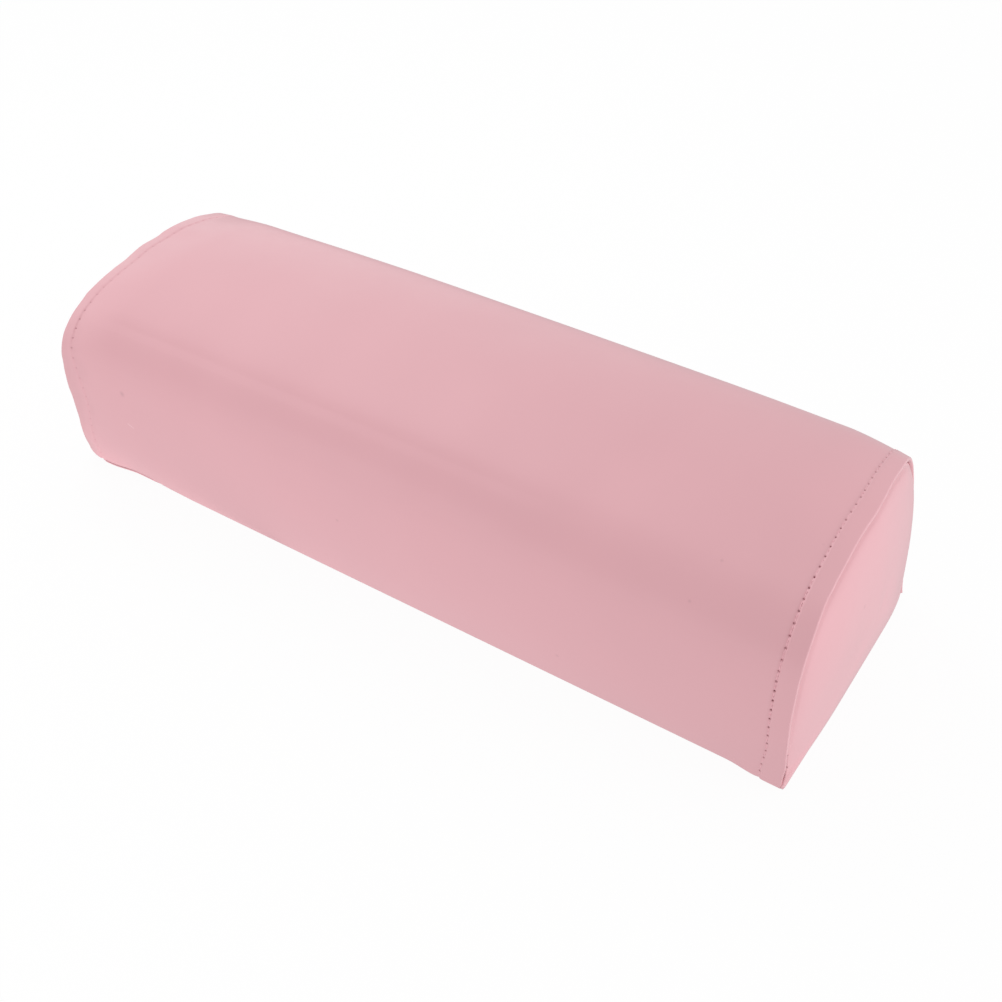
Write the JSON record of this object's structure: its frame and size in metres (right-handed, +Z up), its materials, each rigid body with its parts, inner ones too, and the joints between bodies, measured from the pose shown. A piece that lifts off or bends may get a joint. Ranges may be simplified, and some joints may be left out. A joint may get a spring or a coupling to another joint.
{
  "type": "manicure hand rest",
  "caption": "Low cushion with a rounded top and upright walls, sewn in smooth leathercloth, for resting a hand and wrist during a manicure.",
  "frame": {"origin": "centre of the cushion's footprint, on the surface it stands on", "axes": "+X along the cushion from the left end to the right end, +Y from the front wall to the back wall, +Z up from the base to the crown"},
  "size_m": [0.305, 0.1088, 0.0774],
  "materials": {
    "sponge": "open-cell polyurethane sponge, off-white, hidden inside the cover",
    "wrap_leathercloth": "smooth satin leathercloth, pale pink, very fine grain",
    "base_leathercloth": "smooth satin leathercloth, pale pink, very fine grain",
    "end_leathercloth": "smooth satin leathercloth, pale pink, very fine grain",
    "sewing_thread": "twisted polyester sewing thread, matching pink"
  },
  "bodies": {
    "root": {"foam_core": "sponge", "top_cover_panel": "wrap_leathercloth", "base_panel": "base_leathercloth", "left_end_panel": "end_leathercloth", "right_end_panel": "end_leathercloth", "left_topstitch_thread": "sewing_thread", "right_topstitch_thread": "sewing_thread"}
  },
  "joints": []
}
